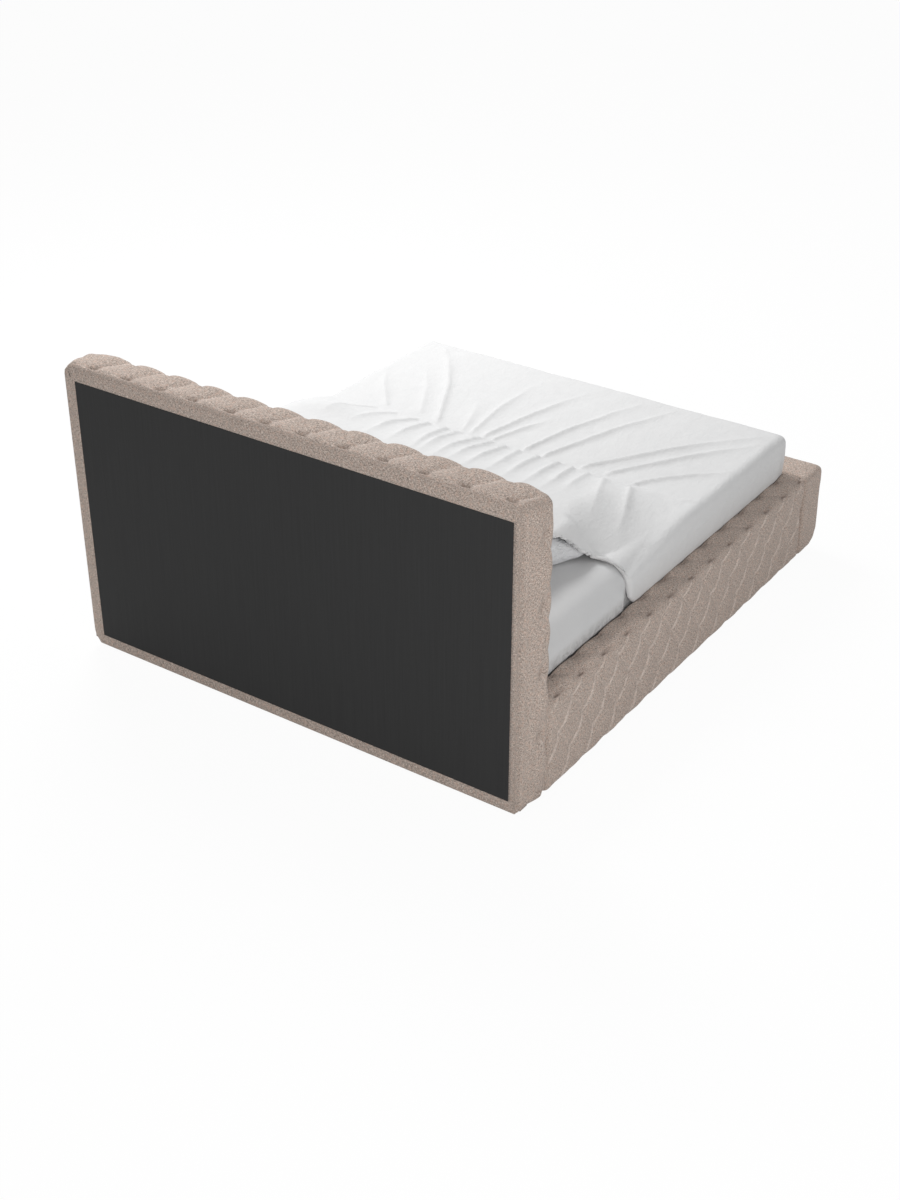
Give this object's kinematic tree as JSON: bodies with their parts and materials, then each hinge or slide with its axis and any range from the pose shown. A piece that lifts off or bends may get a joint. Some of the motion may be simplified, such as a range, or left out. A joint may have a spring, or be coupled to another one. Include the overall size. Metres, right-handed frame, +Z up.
{
  "type": "upholstered bed",
  "caption": "Low double bed with a tall diamond-tufted fabric headboard, tufted side rails, plain-topped footboard, sprung slats, mattress, pillows and duvet.",
  "frame": {"origin": "centre of the bed's footprint at floor level", "axes": "+Z up, +Y towards the headboard, +X to the left of someone lying on their back"},
  "size_m": [2.04, 2.327, 1.2],
  "materials": {
    "upholstery": "heathered taupe woven fabric, matt",
    "back_cloth": "charcoal non-woven back cloth, matt",
    "timber": "planed pine, unvarnished",
    "core_board": "pressed core board",
    "beech": "laminated beech, clear lacquer",
    "zinc_steel": "zinc plated",
    "black_plastic": "moulded, matt",
    "sheet": "white cotton fitted sheet",
    "cotton": "white cotton duvet and pillow covers"
  },
  "bodies": {
    "root": {"beam_hanger_foot": "zinc_steel", "beam_hanger_head": "zinc_steel", "centre_beam": "timber", "centre_leg_foot": "zinc_steel", "centre_leg_head": "zinc_steel", "corner_bracket_foot_left": "zinc_steel", "corner_bracket_foot_right": "zinc_steel", "corner_bracket_head_left": "zinc_steel", "corner_bracket_head_right": "zinc_steel", "duvet": "cotton", "foot_board": "timber", "foot_lining": "back_cloth", "foot_upholstery": "upholstery", "glide_foot_left": "black_plastic", "glide_foot_right": "black_plastic", "glide_head_left": "black_plastic", "glide_head_right": "black_plastic", "headboard_back_cloth": "back_cloth", "headboard_bottom_rail": "timber", "headboard_panel": "core_board", "headboard_stile_left": "timber", "headboard_stile_right": "timber", "headboard_top_rail": "timber", "headboard_upholstery": "upholstery", "mattress": "sheet", "pillow_left": "cotton", "pillow_right": "cotton", "rail_board_left": "timber", "rail_board_right": "timber", "rail_lining_left": "back_cloth", "rail_lining_right": "back_cloth", "rail_upholstery_left": "upholstery", "rail_upholstery_right": "upholstery", "slat_ledge_left": "timber", "slat_ledge_right": "timber", "slat_left_01": "beech", "slat_left_02": "beech", "slat_left_03": "beech", "slat_left_04": "beech", "slat_left_05": "beech", "slat_left_06": "beech", "slat_left_07": "beech", "slat_left_08": "beech", "slat_left_09": "beech", "slat_left_10": "beech", "slat_left_11": "beech", "slat_left_12": "beech", "slat_right_01": "beech", "slat_right_02": "beech", "slat_right_03": "beech", "slat_right_04": "beech", "slat_right_05": "beech", "slat_right_06": "beech", "slat_right_07": "beech", "slat_right_08": "beech", "slat_right_09": "beech", "slat_right_10": "beech", "slat_right_11": "beech", "slat_right_12": "beech"}
  },
  "joints": []
}
